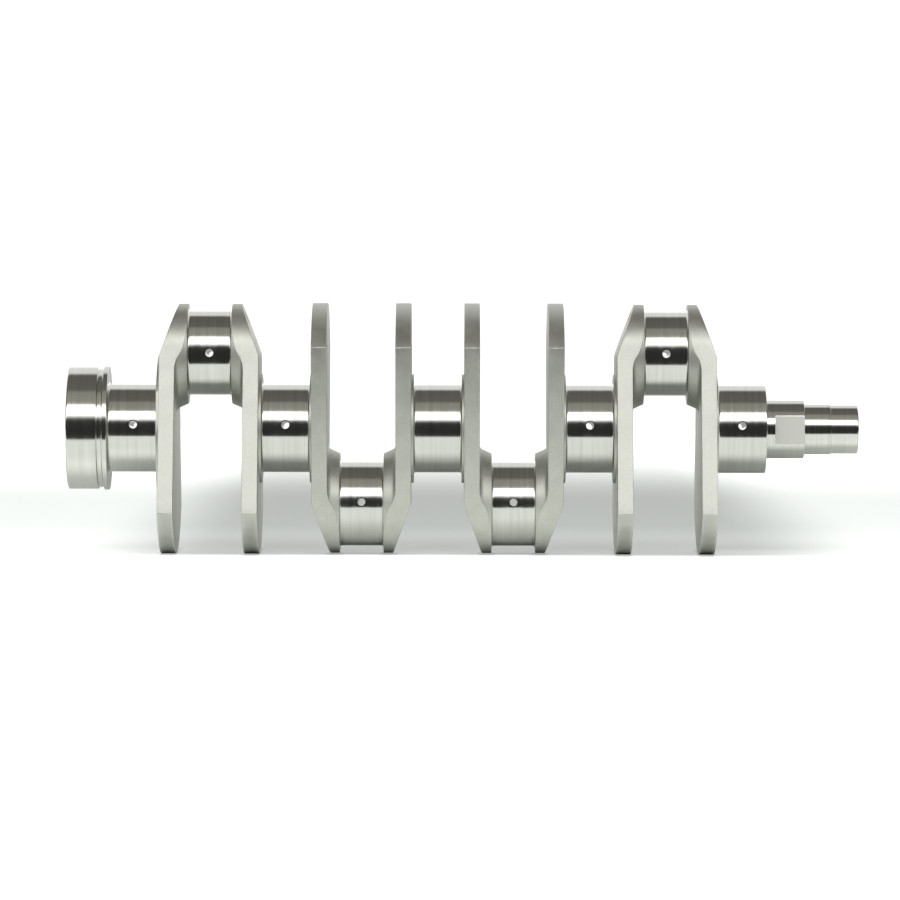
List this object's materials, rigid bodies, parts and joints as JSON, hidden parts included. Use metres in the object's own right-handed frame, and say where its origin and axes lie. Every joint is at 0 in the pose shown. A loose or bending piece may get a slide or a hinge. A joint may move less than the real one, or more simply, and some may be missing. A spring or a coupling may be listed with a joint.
{
  "type": "crankshaft",
  "caption": "Machined steel crankshaft for an inline car engine, with counterweighted webs, ground journals and pins, a flywheel flange and a stepped nose.",
  "frame": {"origin": "on the shaft's axis, half way along its overall length", "axes": "+X along the shaft towards the nose, +Z towards crankpins 1 and 4, +Y to the far side"},
  "size_m": [0.4716, 0.1136, 0.15],
  "materials": {
    "ground_steel": "ground and polished bright, with fine lines round the shaft",
    "blasted_steel": "satin grey, finely milled and blasted",
    "plug_steel": "dark oxide"
  },
  "bodies": {
    "root": {"rear_flange": "ground_steel", "main_journal_1": "ground_steel", "main_journal_2": "ground_steel", "main_journal_3": "ground_steel", "main_journal_4": "ground_steel", "main_journal_5": "ground_steel", "web_1": "blasted_steel", "web_2": "blasted_steel", "web_3": "blasted_steel", "web_4": "blasted_steel", "web_5": "blasted_steel", "web_6": "blasted_steel", "web_7": "blasted_steel", "web_8": "blasted_steel", "crankpin_1": "ground_steel", "crankpin_2": "ground_steel", "crankpin_3": "ground_steel", "crankpin_4": "ground_steel", "oilway_plug_1": "plug_steel", "oilway_plug_2": "plug_steel", "oilway_plug_3": "plug_steel", "oilway_plug_4": "plug_steel", "nose_drive": "ground_steel", "nose_stub": "ground_steel"}
  },
  "joints": []
}
